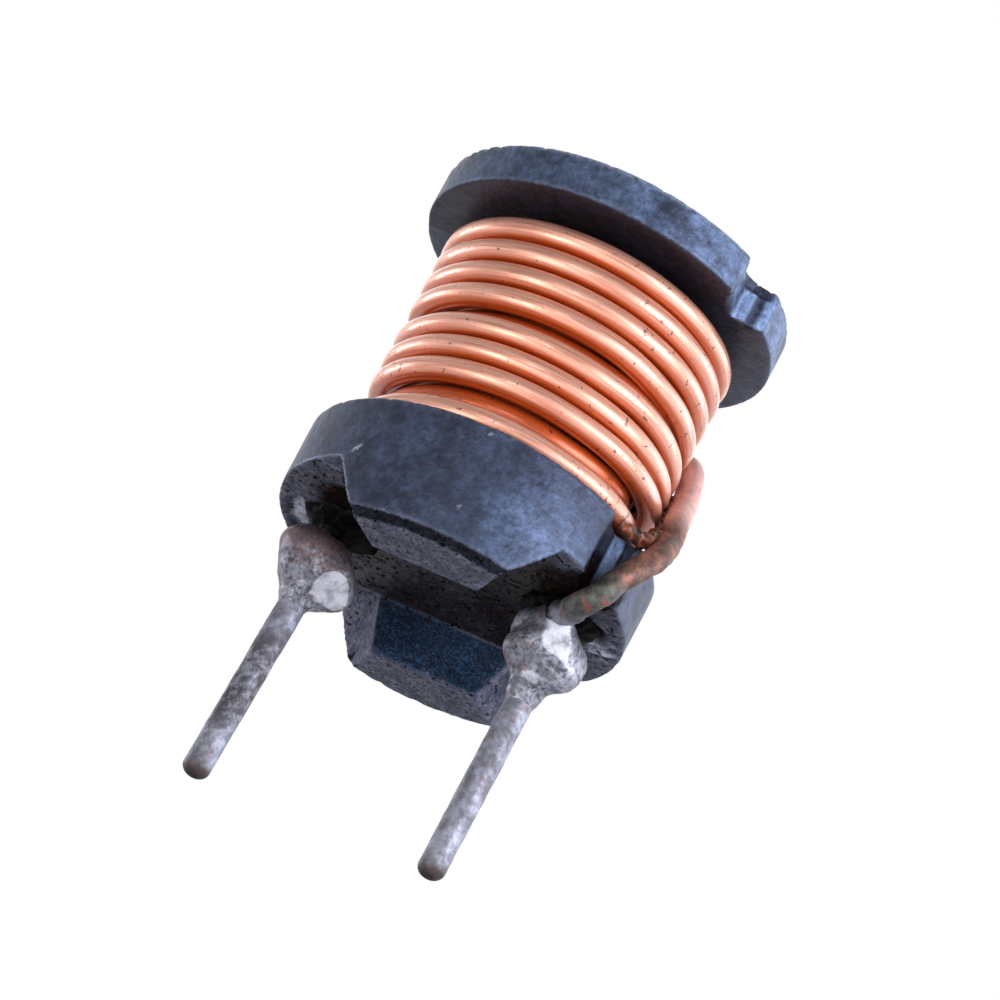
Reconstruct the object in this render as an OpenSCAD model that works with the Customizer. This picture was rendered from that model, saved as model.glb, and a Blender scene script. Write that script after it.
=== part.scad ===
// Radial inductor on a drum core, with two pins for a circuit board.
// Origin: on the plane of the feet's undersides, midway between the two pins.
// The drum's axis is Z, the pins point down and stand on the X axis.

/* [Core] */
// Diameter of both flanges
flange_d = 7.8; // [6.5:0.1:9.4]
// Height of the core from the feet to the top face
core_h = 9.35; // [7.8:0.05:11.3]
// Thickness of the top flange
top_flange_t = 0.95; // [0.8:0.05:1.2]
// Thickness of the bottom flange above the slot floor
web_t = 1.5; // [1.25:0.05:1.8]
// Depth of the cross slot, which is the height of the feet
slot_depth = 1.3; // [1.1:0.05:1.6]
// Thickness of a foot from the slot wall to the rim
foot_t = 1.53; // [1.25:0.01:1.85]
// Chamfer round the top face
top_chamfer = 0.08; // [0.02:0.01:0.15]
// Chamfer round the outer edge of the feet
foot_chamfer = 0.16; // [0.05:0.01:0.25]

/* [Feet] */
// Half length of a foot's underside at the slot wall
foot_tip_in = 1.17; // [1:0.01:1.4]
// Half length of a foot's underside at the rim
foot_tip_out = 1.68; // [1.4:0.01:2.02]
// Half length of a foot at the slot floor, at the slot wall
foot_root_in = 1.59; // [1.33:0.01:1.9]
// Half length of a foot at the slot floor, at the rim
foot_root_out = 2.5; // [2.1:0.01:3]

/* [Notches] */
// Radius of the round wire notch in the rims
notch_r = 0.7; // [0.6:0.02:0.8]
// Depth of the wire notch
notch_depth = 0.55; // [0.5:0.01:0.62]
// Angle of the first notch from the X axis, the second is opposite
notch_angle = -30; // [-34:1:-26]

/* [Pins] */
// Distance between the pins where they leave the core
pin_pitch = 5.08; // [4.24:0.02:6.1]
// Diameter of the tinned pin
pin_d = 0.6; // [0.5:0.01:0.7]
// Length of the pins below the feet
pin_out = 5.15; // [4.3:0.05:6.2]
// Depth of the pins in the core, from the slot floor
pin_bury = 0.9; // [0.7:0.05:1.1]
// Diameter of the blind hole for a pin
hole_d = 0.94; // [0.78:0.01:1.14]
// Outward lean of the left pin in degrees
left_lean = 2; // [0:0.5:3]
// Outward lean of the right pin in degrees
right_lean = 0; // [0:0.5:3]
// Radius of the edge at a pin's tip
tip_round = 0.22; // [0.1:0.01:0.24]

/* [Wire] */
// Diameter of the wire over its enamel
wire_d = 0.55; // [0.46:0.01:0.66]
// How far the winding lies inside the rim of the flanges
winding_inset = 0.6; // [0.5:0.05:0.8]
// Free height above the top turn of the outer layer
top_gap = 0.3; // [0.25:0.01:0.5]
// Extra gap above the lowest outer turn
low_gap = 0.39; // [0:0.01:0.45]
// Extra gap above the fourth outer turn
mid_gap = 0.21; // [0:0.01:0.3]

/* [Solder] */
// How far the solder runs down the pins below the feet
solder_drop = 0.72; // [0.5:0.02:0.9]
// Height of the solder's top above the feet
solder_top = 0.82; // [0.6:0.02:0.9]
// Thickness of solder over the wire's wrap
solder_skin = 0.05; // [0.04:0.01:0.08]

/* [Hidden] */
$fn = 64;
eps = 0.01;
big = 20;

flange_r = flange_d / 2;
slot_w = flange_d - 2 * foot_t;
web_top = slot_depth + web_t;
top_under = core_h - top_flange_t;
notch_c = flange_r - notch_depth + notch_r;

// The wire lies in three layers, each one wire and a small gap apart.
wire_r = wire_d / 2;
wire_gap = 0.01;
pitch = wire_d + wire_gap;
layer_step = wire_d + 2 * wire_gap;
r3 = flange_r - winding_inset - wire_r;
r2 = r3 - layer_step;
r1 = r2 - layer_step;
steps = 18;
sides = 8;
hub_r = r1 * cos(180 / steps) - wire_r - 2 * wire_gap;

// Heights of the turns. Layer 1 climbs, layer 2 comes down and layer 3 climbs.
floor_z = web_top + wire_r + 2.5 * wire_gap;
low_z3 = floor_z + 0.16;
low_z2 = floor_z + wire_d + 6 * wire_gap;
high_z3 = top_under - top_gap - wire_r;
turns3 = floor((high_z3 - low_z3 - low_gap - mid_gap) / pitch) + 1;
top_z3 = turn_z(turns3 - 1);
pitch2 = 1.14 * wire_d;
turns2 = floor((top_z3 - low_z2) / pitch2);
top_z2 = low_z2 + (turns2 - 1) * pitch2;
top_z1 = top_z2 + 0.25 * pitch2;
turns1 = floor((top_z1 - floor_z) / pitch);

function turn_z(i) = low_z3 + i * pitch + (i > 0 ? low_gap : 0) + (i > 3 ? mid_gap : 0);

// Pins
pin_r = pin_d / 2;
shank_r = pin_r - 0.02;
root_r = pin_r - 0.03;
flats = 12; // the shank and root are rolled flat-sided, to grip solder and glue
pin_x = pin_pitch / 2;
bend_z = 0.3;
collar_z = -solder_drop - 0.05;
wrap_r = pin_r + wire_r + 2 * wire_gap;

// A point from an angle about the drum's axis, a radius and a height
function polar(a, r, z) = [r * cos(a), r * sin(a), z];
// A point on a wrap round the pin at x
function wrap(x, a, z) = [x + wrap_r * cos(a), wrap_r * sin(a), z];
function mix(a, b, t) = a + (b - a) * t;
function unit(v) = v / norm(v);

// Left lead: the wrap, then along under the rim and up through the notch
wrap_left_z = [-0.22, -0.12, 0.02, 0.15, 0.28, 0.42, 0.55];
left_wrap = [for (i = [0 : len(wrap_left_z) - 1])
    wrap(-pin_x, 450 - 45 * i, wrap_left_z[i])];
back = notch_angle + 180;
left_lead = [
    [-pin_x - wrap_r - 0.06, 0.5, 0.68],
    polar(back + 13, flange_r - 0.42, 0.84),
    polar(back + 3, flange_r - 0.16, 1.05),
    polar(back, flange_r - 0.13, slot_depth + 0.3),
    polar(back, flange_r - 0.16, mix(slot_depth, web_top, 0.7)),
    polar(back - 3, flange_r - 0.2, web_top + 0.19),
    polar(back - 9, flange_r - 0.38, floor_z + 0.06)];

// The run inward on the lower flange
in_from = back - 18;
in_to = back - 90;
run_in = [for (a = [in_from : -9 : in_to + 9])
    polar(a, mix(flange_r - 0.62, r1, (in_from - a) / (in_from - in_to)), floor_z)];

// Layer 1, a plain helix
layer1 = [for (i = [0 : turns1 * steps])
    polar(in_to - i * 360 / steps, r1, mix(floor_z, top_z1, i / (turns1 * steps)))];
step2 = [for (i = [1 : 2])
    polar(in_to - i * 20, mix(r1, r2, i / 3), mix(top_z1, top_z2 + 0.43 * pitch2, i / 3) + 0.1 * wire_d)];

// Layer 2 comes down, each turn level but for a stretch at the right
function fall(u) = min(1, max(0, u / 140));
layer2 = [for (i = [0 : turns2 * steps - 4])
    let (t = i * 360 / steps, n = floor(t / 360), u = t - 360 * n)
    polar(-t, r2, top_z2 - n * pitch2 + pitch2 * (0.43 - 0.43 * fall(u * 2.33))
        - (u > 280 ? pitch2 * 0.57 * (u - 280) / 80 : 0))];
step3 = [for (i = [1 : 3])
    polar(80 - 20 * i, mix(r2, r3, i / 4), mix(low_z2, low_z3, i / 4))];

// Layer 3 climbs at the back, each turn level across the front
function rise(u) = min(1, max(0, (u - 150) / 180));
layer3 = [for (i = [0 : turns3 * steps - 10])
    let (t = i * 360 / steps, n = floor(t / 360), u = t - 360 * n)
    polar(-t, r3, mix(turn_z(n), turn_z(n + 1), rise(u)))];

// Right lead: off the top turn, down over the winding at the back, past the
// rim beside the notch and in under it to the pin
over = r3 + layer_step + 0.02;
rim_out = flange_r + wire_r + 2.5 * wire_gap;
function down(t) = mix(top_z3, web_top, t);
right_lead = [
    polar(-185, mix(r3, over, 0.15), top_z3 + 0.1),
    polar(-207, mix(r3, over, 0.6), top_z3 + 0.19),
    polar(-230, over, top_z3 + 0.17),
    polar(-250, over + 0.01, top_z3 + 0.02),
    polar(-272, over + 0.02, down(0.06)),
    polar(-295, over + 0.02, down(0.13)),
    polar(-314, over, down(0.19)),
    polar(-329, over - 0.02, down(0.275)),
    polar(-339, over - 0.02, down(0.43)),
    polar(-350, over - 0.01, down(0.59)),
    polar(-363, over + 0.12, down(0.72)),
    polar(-370, over + 0.31, down(0.87)),
    polar(-380.5, rim_out + 0.03, web_top - 0.1),
    polar(-386.5, rim_out + 0.01, mix(slot_depth, web_top, 0.5)),
    polar(-389, flange_r + 0.16, slot_depth + 0.33),
    polar(-392, flange_r + 0.1, slot_depth - 0.16),
    polar(-390, flange_r - 0.36, slot_depth - 0.37),
    [pin_x + 0.1, -0.97, slot_depth - wire_r - 0.05]];
right_wrap = [for (i = [0 : 9])
    wrap(pin_x, -110 - 45 * i, slot_depth - 0.43 - 0.0725 * i)];

// A smooth curve through points 1 to n - 1 of a list, cut into short lengths
cuts = 3;
function spline(p) = [for (i = [1 : len(p) - 3], k = [0 : cuts - 1])
    let (t = k / cuts, a = p[i - 1], b = p[i], c = p[i + 1], d = p[i + 2])
    b + t * (c - a) / 2 + t * t * (a - 2.5 * b + 2 * c - d / 2)
      + t * t * t * (3 * b - a - 3 * c + d) / 2];
function slice(p, from, to) = [for (i = [from : to]) p[i]];
last3 = len(layer3) - 1;
last_wrap = len(left_wrap) - 1;
left_run = spline(concat(slice(left_wrap, last_wrap - 1, last_wrap), left_lead,
                         slice(run_in, 0, 1)));
right_run = spline(concat(slice(layer3, last3 - 1, last3), right_lead,
                          slice(right_wrap, 0, 1)));
left_hook = concat(slice(left_wrap, 0, last_wrap - 1), slice(left_run, 0, 6));
right_hook = concat(slice(right_run, len(right_run) - 6, len(right_run) - 1), right_wrap);

wire_path = concat(slice(left_wrap, 0, last_wrap - 1), left_run, run_in, layer1, step2,
                   layer2, step3, slice(layer3, 0, last3 - 1), right_run, right_wrap);

// Sweeps a round bar along points, with one ring of corners at each point
function tangent(p, i) = let (n = len(p) - 1)
    unit(p[min(i + 1, n)] - p[max(i - 1, 0)]);
function flat_to(v, t) = unit(v - (v * t) * t);
function normals(p) = [for (i = 0, n = flat_to([0.1, 0.2, 1], tangent(p, 0));
    i < len(p); i = i + 1, n = i < len(p) ? flat_to(n, tangent(p, i)) : n) n];

module bar(p, r) {
    last = len(p) - 1;
    nn = normals(p);
    rings = [for (i = [0 : last]) let (t = tangent(p, i), b = cross(t, nn[i]))
        for (k = [0 : sides - 1])
            p[i] + r * (cos(k * 360 / sides) * nn[i] + sin(k * 360 / sides) * b)];
    skin = [for (i = [0 : last - 1], k = [0 : sides - 1])
        let (a = i * sides + k, b = i * sides + (k + 1) % sides)
        each [[a, a + sides, b + sides], [a, b + sides, b]]];
    caps = [[for (k = [0 : sides - 1]) k],
            [for (k = [sides - 1 : -1 : 0]) last * sides + k]];
    polyhedron(points = rings, faces = concat(skin, caps), convexity = 20);
}

// Everything on the far side of a plane through three points
module beyond(a, b, c) {
    n = unit(cross(b - a, c - a));
    tilt = acos(n[2]);
    turn = atan2(n[1], n[0]);
    translate(a) rotate([0, tilt, turn]) translate([-big / 2, -big / 2, 0]) cube(big);
}

// The sloping end of a foot is two planes that meet along a diagonal.
module foot_end() {
    y_in = slot_w / 2;
    tip_in = [foot_tip_in, y_in, 0];
    tip_out = [foot_tip_out, sqrt(pow(flange_r, 2) - pow(foot_tip_out, 2)), 0];
    root_in = [foot_root_in, y_in, slot_depth];
    root_out = [foot_root_out, sqrt(pow(flange_r, 2) - pow(foot_root_out, 2)), slot_depth];
    intersection() {
        translate([0, y_in - eps, -1]) cube([big, big, 1 + slot_depth]);
        beyond(root_in, tip_out, root_out);
        beyond(tip_in, tip_out, root_in);
    }
}

module notch(a) {
    rotate([0, 0, a]) translate([notch_c, 0, -1]) cylinder(r = notch_r, h = core_h + 2);
}

module ferrite_core() color([0.21, 0.24, 0.3]) difference() {
    rotate_extrude() polygon([
        [0, 0], [flange_r - foot_chamfer, 0], [flange_r, foot_chamfer],
        [flange_r, web_top], [hub_r, web_top], [hub_r, top_under],
        [flange_r, top_under], [flange_r, core_h - top_chamfer],
        [flange_r - top_chamfer, core_h], [0, core_h]]);
    translate([-big / 2, -slot_w / 2, -1]) cube([big, slot_w, 1 + slot_depth]);
    for (mx = [0, 1], my = [0, 1]) mirror([mx, 0, 0]) mirror([0, my, 0]) foot_end();
    notch(notch_angle);
    notch(notch_angle + 180);
    for (s = [-1, 1]) translate([s * pin_x, 0, 0]) cylinder(d = hole_d, h = slot_depth + pin_bury + 0.1);
}

module winding_wire() color([0.8, 0.48, 0.35]) bar(wire_path, wire_r);

// Below its bend the pin is a shank under the solder, then the tinned length.
module lower_pin(lean) {
    drop = pin_out + bend_z;
    translate([0, 0, bend_z]) rotate([0, lean, 0]) {
        translate([0, 0, collar_z - bend_z - eps])
            cylinder(r = shank_r, h = bend_z - collar_z + eps, $fn = flats);
        rotate_extrude() union() {
            translate([0, tip_round - drop])
                square([pin_r, drop - tip_round + collar_z - bend_z]);
            translate([0, -drop]) square([pin_r - tip_round, tip_round + eps]);
            intersection() {
                translate([pin_r - tip_round, tip_round - drop]) circle(r = tip_round);
                translate([0, -drop]) square([pin_r, tip_round + eps]);
            }
        }
    }
}

module pin(side, lean) translate([side * pin_x, 0, 0]) {
    translate([0, 0, bend_z - eps])
        cylinder(r = root_r, h = slot_depth + pin_bury - bend_z + eps, $fn = flats);
    lower_pin(side * -lean);
}

module pin_left() color([0.62, 0.62, 0.66]) pin(-1, left_lean);
module pin_right() color([0.62, 0.62, 0.66]) pin(1, right_lean);

module pin_glue(side) color([0.12, 0.1, 0.09]) translate([side * pin_x, 0, slot_depth])
    difference() {
        cylinder(d = hole_d, h = pin_bury + 0.1);
        translate([0, 0, -1]) cylinder(r = root_r, h = 1 + pin_bury, $fn = flats);
    }
module pin_glue_left() pin_glue(-1);
module pin_glue_right() pin_glue(1);

// A vase of solder round a pin, with the pin and the wire's wrap cut out of it
module solder(side, lean, hook) color([0.7, 0.7, 0.73]) difference() {
    out = wrap_r + wire_r + solder_skin;
    translate([side * pin_x, 0, 0]) {
        rotate_extrude() polygon([
            [0, -solder_drop], [shank_r + 0.05, -solder_drop],
            [0.5 * out, -0.6 * solder_drop], [0.94 * out, -0.12],
            [out, 0.12], [out, 0.5 * solder_top], [0.9 * out, 0.8 * solder_top],
            [0.62 * out, solder_top], [0, solder_top]]);
    }
    pin(side, lean);
    bar(hook, (wire_r + wire_gap / 2) / cos(180 / sides));
}

module solder_left() solder(-1, left_lean, left_hook);
module solder_right() solder(1, right_lean, right_hook);

ferrite_core();
winding_wire();
pin_left();
pin_right();
pin_glue_left();
pin_glue_right();
solder_left();
solder_right();
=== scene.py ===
import math
import bpy
import numpy as np
from mathutils import Matrix, Vector, noise


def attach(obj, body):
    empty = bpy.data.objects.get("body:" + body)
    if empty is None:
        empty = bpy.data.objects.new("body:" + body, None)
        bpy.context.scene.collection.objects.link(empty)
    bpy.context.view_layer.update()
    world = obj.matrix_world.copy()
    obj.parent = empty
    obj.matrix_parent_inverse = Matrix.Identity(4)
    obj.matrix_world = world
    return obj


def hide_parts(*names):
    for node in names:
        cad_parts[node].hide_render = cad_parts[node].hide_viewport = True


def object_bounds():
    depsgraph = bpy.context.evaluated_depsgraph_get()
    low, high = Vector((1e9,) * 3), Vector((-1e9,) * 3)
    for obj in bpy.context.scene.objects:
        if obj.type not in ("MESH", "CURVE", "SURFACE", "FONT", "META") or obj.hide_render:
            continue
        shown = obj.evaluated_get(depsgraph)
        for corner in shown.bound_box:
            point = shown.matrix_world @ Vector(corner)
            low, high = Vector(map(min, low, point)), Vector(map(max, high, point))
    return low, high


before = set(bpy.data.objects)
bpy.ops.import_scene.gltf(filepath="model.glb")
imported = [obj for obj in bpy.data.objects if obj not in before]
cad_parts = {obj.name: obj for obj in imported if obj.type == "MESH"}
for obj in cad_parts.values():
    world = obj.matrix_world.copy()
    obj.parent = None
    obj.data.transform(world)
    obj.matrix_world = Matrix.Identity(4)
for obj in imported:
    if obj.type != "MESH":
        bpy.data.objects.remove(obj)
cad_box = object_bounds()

scene = bpy.context.scene
scene.view_settings.view_transform = "Standard"

# ---------------------------------------------------------------- camera
# A long lens looks up at the part from below the board side, rolled a little,
# so that the pins point down to the left and the feet show.
MM = 0.001
azimuth, elevation, roll = math.radians(-11.9), math.radians(-25.06), math.radians(28.15)
DISTANCE = 253.35                     # millimetres from the lens to the part
AIM_HEIGHT, AIM_LEFT, AIM_BELOW = 4.3875, 0.314, 1.008
toward = Vector((-math.cos(elevation) * math.sin(azimuth),
                 -math.cos(elevation) * math.cos(azimuth), math.sin(elevation)))
level = (-toward).cross(Vector((0, 0, 1))).normalized()
upright = level.cross(-toward)
right = level * math.cos(roll) + upright * math.sin(roll)
up = upright * math.cos(roll) - level * math.sin(roll)
aim = Vector((0, 0, AIM_HEIGHT * MM)) - right * AIM_LEFT * MM - up * AIM_BELOW * MM
place = aim + toward * DISTANCE * MM
eye = bpy.data.cameras.new("eye")
eye.lens = 445
eye.sensor_width = 36
eye.clip_start = 0.01
eye.clip_end = 5
camera = bpy.data.objects.new("camera", eye)
scene.collection.objects.link(camera)
camera.matrix_world = Matrix((
    (right.x, up.x, toward.x, place.x),
    (right.y, up.y, toward.y, place.y),
    (right.z, up.z, toward.z, place.z),
    (0, 0, 0, 1)))
scene.camera = camera

# ---------------------------------------------------------------- studio
# White surroundings, a broad soft bank to the right, a window-like card low
# to the left, and a weak strip below the lens, as on a product table.
LIT_HEIGHT = 4.4                      # every lamp turns to this height on the part's axis


def linear(code):
    """Turns an sRGB hex colour into the linear one that a shader takes."""
    parts = [int(code[i:i + 2], 16) / 255 for i in (1, 3, 5)]
    return [c / 12.92 if c <= 0.04045 else ((c + 0.055) / 1.055) ** 2.4 for c in parts] + [1]


def add(tree, kind, settings=None, **links):
    """Adds a shader node: settings are its properties, links its inputs by name or number."""
    node = tree.nodes.new("ShaderNode" + kind)
    for key, value in (settings or {}).items():
        if key == "stops":
            for stop, (position, code) in zip(node.color_ramp.elements, value):
                stop.position, stop.color = position, linear(code)
        else:
            setattr(node, key, value)
    for key, value in links.items():
        key = key.replace("_", " ")
        socket = node.inputs[int(key[1:])] if key[0] == "i" and key[1:].isdigit() else node.inputs[key]
        if isinstance(value, bpy.types.NodeSocket):
            tree.links.new(value, socket)
        else:
            socket.default_value = value
    return node


def lamp(name, bearing, height, reach, wide, tall, power, tint="#ffffff"):
    """A soft box: its bearing and height in degrees, its reach and size in millimetres."""
    light = bpy.data.lights.new(name, "AREA")
    light.shape = "RECTANGLE"
    light.size, light.size_y = wide * MM, tall * MM
    light.energy = power
    light.color = linear(tint)[:3]
    thing = bpy.data.objects.new(name, light)
    b, h = math.radians(bearing), math.radians(height)
    way = Vector((math.cos(h) * math.cos(b), math.cos(h) * math.sin(b), math.sin(h)))
    thing.location = Vector((0, 0, LIT_HEIGHT * MM)) + way * reach * MM
    thing.rotation_euler = way.to_track_quat("Z", "Y").to_euler()
    scene.collection.objects.link(thing)


def paintable(name):
    """A new material and its empty node tree."""
    material = bpy.data.materials.new(name)
    material.use_nodes = True
    material.node_tree.nodes.clear()
    return material, material.node_tree


lamp("bank_right", -30, 1, 120, 96, 100, 0.20, "#f4f5fc")
lamp("bank_left", 164, -4, 130, 70, 56, 0.070, "#f6f7ff")
lamp("bank_behind", 30, 24, 130, 80, 80, 0.06, "#e6eeff")
lamp("window_left", -122, -22, 120, 34, 9, 0.050)
lamp("strip_middle", -82, -40, 120, 70, 5, 0.026)
lamp("card_small", -98, 10, 130, 44, 4, 0.020)
lamp("back_high", 100, 50, 150, 190, 190, 0.07)

world = bpy.data.worlds.new("studio")
scene.world = world
world.use_nodes = True
tree = world.node_tree
tree.nodes.clear()
path = add(tree, "LightPath")
seen = add(tree, "Math", {"operation": "MAXIMUM"}, i0=path.outputs["Is Camera Ray"],
           i1=path.outputs["Is Transmission Ray"])
sky = add(tree, "TexCoord")
split = add(tree, "SeparateXYZ", Vector=sky.outputs["Generated"])
# A reflection sees a grey room that grows white behind the part and overhead.
room = add(tree, "MapRange", Value=split.outputs["Y"], From_Min=-0.7, From_Max=0.8,
           To_Min=0.24, To_Max=0.80)
ambient = add(tree, "Background", Color=linear("#e9edf6"), Strength=0.39)
mirror = add(tree, "Background", Color=linear("#ffffff"), Strength=room.outputs["Result"])
white = add(tree, "Background", Color=linear("#ffffff"), Strength=1.0)
lit = add(tree, "MixShader", i0=path.outputs["Is Glossy Ray"], i1=ambient.outputs[0], i2=mirror.outputs[0])
both = add(tree, "MixShader", i0=seen.outputs[0], i1=lit.outputs[0], i2=white.outputs[0])
add(tree, "OutputWorld", Surface=both.outputs[0])

# The table is matt pale paint, which gives soft shadows and no mirror image. Its
# underside is clear, because the lens is below it.
SPAN = 0.6                            # half the table's width, in metres
table_z = cad_box[0][2]
table = bpy.data.meshes.new("floor")
table.from_pydata([(-SPAN, -SPAN, table_z), (SPAN, -SPAN, table_z), (SPAN, SPAN, table_z),
                   (-SPAN, SPAN, table_z)], [], [(0, 1, 2, 3)])
floor = bpy.data.objects.new("floor", table)
scene.collection.objects.link(floor)
floor.visible_shadow = False
paint, tree = paintable("pale_table_paint")
side = add(tree, "NewGeometry")
matt = add(tree, "BsdfPrincipled", Base_Color=linear("#e6e6e6"), Roughness=0.7)
glow = add(tree, "Emission", Color=linear("#ffffff"), Strength=0.15)
top = add(tree, "AddShader", i0=matt.outputs[0], i1=glow.outputs[0])
clear = add(tree, "BsdfTransparent")
one_sided = add(tree, "MixShader", i0=side.outputs["Backfacing"], i1=top.outputs[0], i2=clear.outputs[0])
add(tree, "OutputMaterial", Surface=one_sided.outputs[0])
table.materials.append(paint)

# ---------------------------------------------------------------- core
# The drum is manganese-zinc ferrite powder, pressed in a die and sintered: a
# hard ceramic, blue-black where the die slid on it, grey and pitted on its
# ends. Everything else is wound or glued onto it.
R, H = 3.9, 9.35                      # flange radius and core height, in millimetres
SLOT, WEB, UNDER = 1.3, 2.8, 8.4      # heights of the slot's roof and of the winding space's ends
HUB, SLOT_HALF = 1.561, 2.37          # hub radius, half the slot's width
PIN_X, HOLE_R, HOLE_TOP = 2.54, 0.47, 2.3
TOP_CHAMFER, FOOT_CHAMFER, DIAGONAL = 0.08, 0.18, 0.7071


def smooth_max(a, b, k):
    """The larger of two fields, with their edge rounded over k millimetres."""
    h = np.maximum(k - np.abs(a - b), 0) / np.maximum(k, 1e-6)
    return np.maximum(a, b) + h * h * k / 4


def plane(p, a, b, c):
    """Distance in front of the plane through three points."""
    a, b, c = np.array(a), np.array(b), np.array(c)
    n = np.cross(b - a, c - a)
    return (p - a) @ (n / np.linalg.norm(n))


def grain(points, size, seed):
    """Smooth noise from -1 to 1 with a given grain size, in millimetres."""
    k = Vector((seed * 17.3, seed * 5.1, -seed * 9.7))
    return np.array([noise.noise(Vector(q) / size + k) for q in points])


def ramp(x, low, high):
    """0 below low and 1 above high, or the other way round where high is less."""
    t = np.clip((x - low) / (high - low), 0, 1)
    return t * t * (3 - 2 * t)


def core_field(p, wear):
    """Below zero inside the core. wear is the rounding of each convex edge."""
    x, y, z = np.abs(p[:, 0]), np.abs(p[:, 1]), p[:, 2]
    r = np.hypot(x, y)
    body = smooth_max(r - R, z - H, wear * 0.7)
    body = smooth_max(body, (r - R + z - H + TOP_CHAMFER) * DIAGONAL, wear * 0.7)
    body = smooth_max(body, (r - R - z + FOOT_CHAMFER) * DIAGONAL, wear * 0.8)
    body = smooth_max(body, -z, wear * 0.8)
    window = np.maximum(np.maximum(HUB - r, WEB - z), z - UNDER)
    body = smooth_max(body, -window, wear)
    slot = smooth_max(y - SLOT_HALF, z - SLOT, 0.06)
    body = smooth_max(body, -slot, wear)
    # Each foot is cut off at its ends by two planes through these four corners.
    tip_out = (1.68, math.sqrt(R * R - 1.68 ** 2), 0)
    root_out = (2.5, math.sqrt(R * R - 2.5 ** 2), SLOT)
    tip_in, root_in = (1.17, SLOT_HALF, 0), (1.59, SLOT_HALF, SLOT)
    q = np.stack([x, y, z], 1)
    end = np.maximum(plane(q, root_in, root_out, tip_out), plane(q, tip_in, root_in, tip_out))
    end = smooth_max(smooth_max(end, z - SLOT, 0.06), SLOT_HALF - 0.01 - y, 0.01)
    body = smooth_max(body, -end, wear)
    # Two notches face each other: a corner with a groove in it, and a lip over
    # the upper one where the powder was left standing.
    for turn in (1, -1):
        u, v = turn * p[:, 0], turn * p[:, 1]
        notch = np.maximum(2.95 - u, (v + 1.5 - 0.22 * (u - 2.93)) * 0.976)
        notch = -smooth_max(-notch, 0.10 - np.hypot(u - 3.34, v + 1.44), 0.05)
        notch = np.maximum(notch, np.minimum(z - 9.12, 3.78 + 0.08 * (v + 2.1) - r))
        body = smooth_max(body, -notch, wear * 0.6)
    for px in (-PIN_X, PIN_X):
        hole = np.maximum(np.hypot(p[:, 0] - px, p[:, 1]) - HOLE_R, z - HOLE_TOP)
        body = np.maximum(body, -hole)
    return body


def points_of(mesh):
    """The places of a mesh's vertices, one row each."""
    p = np.empty(len(mesh.vertices) * 3)
    mesh.vertices.foreach_get("co", p)
    return p.reshape(-1, 3)


def settle(mesh, field, rounds=5, stride=0.05):
    """Moves every vertex onto the surface where the field is zero."""
    p = points_of(mesh)
    nudge = 0.005
    for _ in range(rounds):
        f = field(p)
        g = np.stack([(field(p + e) - field(p - e)) / (2 * nudge) for e in np.eye(3) * nudge], 1)
        n = np.maximum((g * g).sum(1), 0.2)
        step = (f / n)[:, None] * g
        length = np.linalg.norm(step, axis=1, keepdims=True)
        p = p - step * np.minimum(1, stride / np.maximum(length, 1e-9))
    mesh.vertices.foreach_set("co", p.ravel())
    return p, g / np.sqrt(n)[:, None]


def finish_piece(name, mesh, material, node, replaces=True):
    """Puts a finished mesh, made in millimetres, in the scene for a plain solid."""
    mesh.vertices.foreach_set("co", points_of(mesh).ravel() * MM)
    mesh.polygons.foreach_set("use_smooth", [True] * len(mesh.polygons))
    mesh.materials.clear()
    mesh.materials.append(material)
    mesh.update()
    thing = bpy.data.objects.new(name, mesh)
    scene.collection.objects.link(thing)
    if replaces:
        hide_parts(node)
    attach(thing, "root")


def layer(mesh, name, values):
    """Keeps one number per vertex, for a material to read."""
    data = mesh.attributes.new(name, "FLOAT", "POINT")
    data.data.foreach_set("value", np.asarray(values, dtype=np.float32))


# Fine even faces come from a voxel copy of the solid, and then each vertex
# is brought onto the true surface with its worn edges.
VOXEL = 0.062
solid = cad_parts["ferrite_core"].data.copy()
solid.vertices.foreach_set("co", points_of(solid).ravel() / MM)
rough = bpy.data.objects.new("rough_core", solid)
scene.collection.objects.link(rough)
voxels = rough.modifiers.new("voxels", "REMESH")
voxels.mode = "VOXEL"
voxels.voxel_size = VOXEL
bpy.context.view_layer.update()
stepped = rough.evaluated_get(bpy.context.evaluated_depsgraph_get())
core_mesh = bpy.data.meshes.new_from_object(stepped)
bpy.data.objects.remove(rough)

# Tumbling wore every edge by WORN, and more where the powder was weak.
WORN, WEAK = 0.045, 0.16
p = points_of(core_mesh)
ragged = grain(p, 0.5, 1) + 0.6 * grain(p, 0.2, 2)
wear = WORN + WEAK * np.maximum(ragged - 0.4, 0)
p, out = settle(core_mesh, lambda q: core_field(q, wear))
x, y, z = p.T
r = np.hypot(x, y)
# An edge is where rounding the whole core more would move the surface.
BLUNT, SHARP = wear * 0 + 0.22, wear * 0 + 1e-3
edge = ramp(core_field(p, BLUNT) - core_field(p, SHARP), 0.0, 0.05)
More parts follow.
